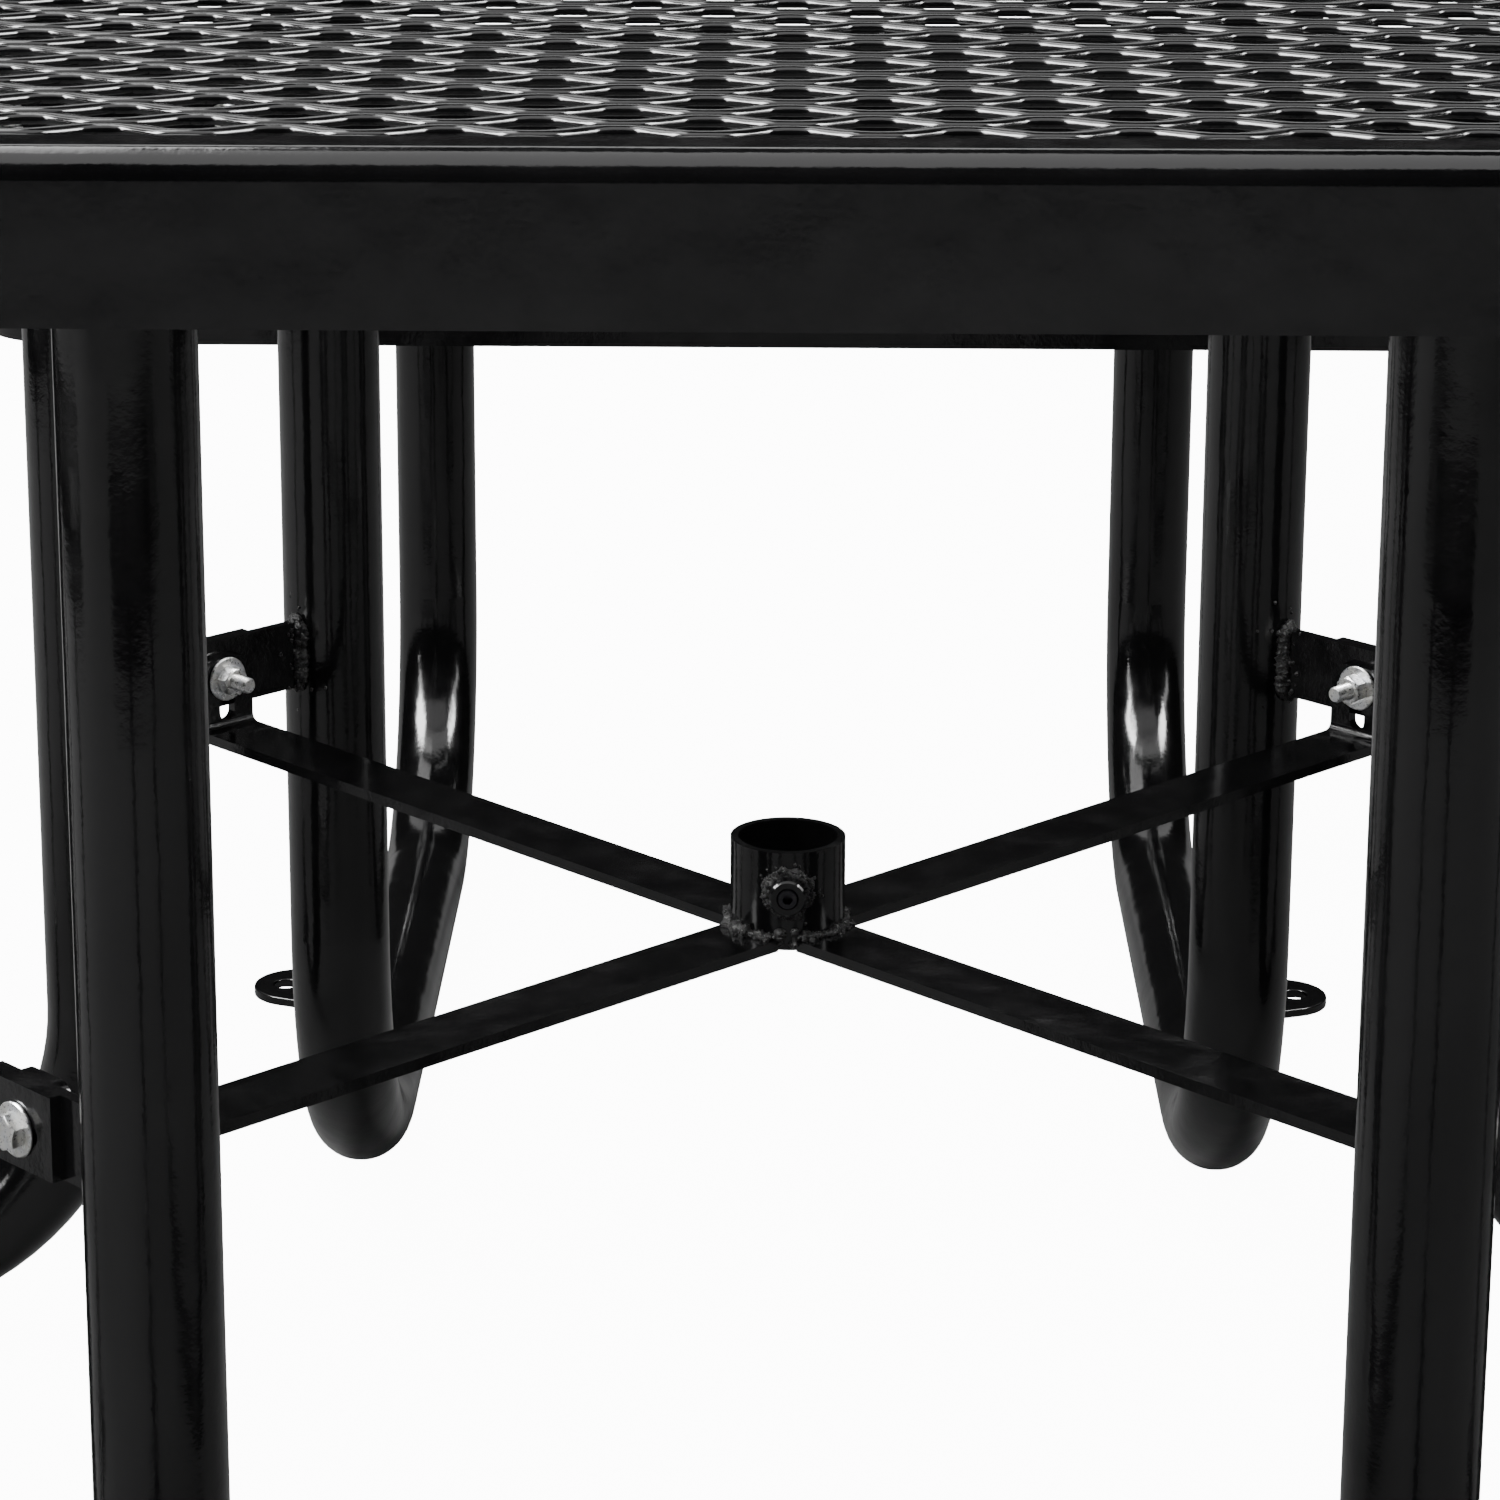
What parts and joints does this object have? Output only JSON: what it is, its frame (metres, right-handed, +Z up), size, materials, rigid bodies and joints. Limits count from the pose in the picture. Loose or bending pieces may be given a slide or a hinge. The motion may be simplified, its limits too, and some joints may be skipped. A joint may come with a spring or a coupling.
{
  "type": "picnic table",
  "caption": "Square steel picnic table with expanded-metal top, attached benches on bent-tube legs, an X brace and an umbrella hub.",
  "frame": {"origin": "on the floor, under the middle of the table top", "axes": "+Z up; +X and +Y point at the middles of the right and back seats; the hub's weld nut faces -Y"},
  "size_m": [2.254, 2.254, 0.75],
  "materials": {
    "black_coating": "gloss",
    "coated_mesh": "gloss",
    "zinc_fastener": "satin",
    "black_screw": "satin"
  },
  "bodies": {
    "table": {"back_foot_tabs": "black_coating", "back_left_brace_bar": "black_coating", "back_left_inner_ear": "black_coating", "back_left_outer_ear": "black_coating", "back_leg_a": "black_coating", "back_leg_b": "black_coating", "back_leg_seat_plates": "black_coating", "back_leg_top_plates": "black_coating", "back_right_brace_bar": "black_coating", "back_right_inner_ear": "black_coating", "back_right_outer_ear": "black_coating", "back_seat_angles": "black_coating", "back_seat_mesh": "coated_mesh", "back_seat_rim": "black_coating", "corner_bolts": "zinc_fastener", "corner_nuts": "zinc_fastener", "corner_washers": "zinc_fastener", "front_foot_tabs": "black_coating", "front_left_brace_bar": "black_coating", "front_left_inner_ear": "black_coating", "front_left_outer_ear": "black_coating", "front_leg_a": "black_coating", "front_leg_b": "black_coating", "front_leg_seat_plates": "black_coating", "front_leg_top_plates": "black_coating", "front_right_brace_bar": "black_coating", "front_right_inner_ear": "black_coating", "front_right_outer_ear": "black_coating", "front_seat_angles": "black_coating", "front_seat_mesh": "coated_mesh", "front_seat_rim": "black_coating", "hub_tube": "black_coating", "hub_weld_nut": "black_coating", "left_foot_tabs": "black_coating", "left_leg_a": "black_coating", "left_leg_b": "black_coating", "left_leg_seat_plates": "black_coating", "left_leg_top_plates": "black_coating", "left_seat_angles": "black_coating", "left_seat_mesh": "coated_mesh", "left_seat_rim": "black_coating", "plate_bolts": "zinc_fastener", "plate_nuts": "zinc_fastener", "right_foot_tabs": "black_coating", "right_leg_a": "black_coating", "right_leg_b": "black_coating", "right_leg_seat_plates": "black_coating", "right_leg_top_plates": "black_coating", "right_seat_angles": "black_coating", "right_seat_mesh": "coated_mesh", "right_seat_rim": "black_coating", "top_angle_back": "black_coating", "top_angle_front": "black_coating", "top_angle_left": "black_coating", "top_angle_right": "black_coating", "top_mesh": "coated_mesh", "top_rim": "black_coating", "umbrella_collar": "black_coating"},
    "set_screw": {"umbrella_set_screw": "black_screw"}
  },
  "joints": [
    {"name": "set_screw_travel", "type": "slide", "parent": "table", "child": "set_screw", "axis": [0, 1, 0], "range_m": [0, 0.006]}
  ]
}
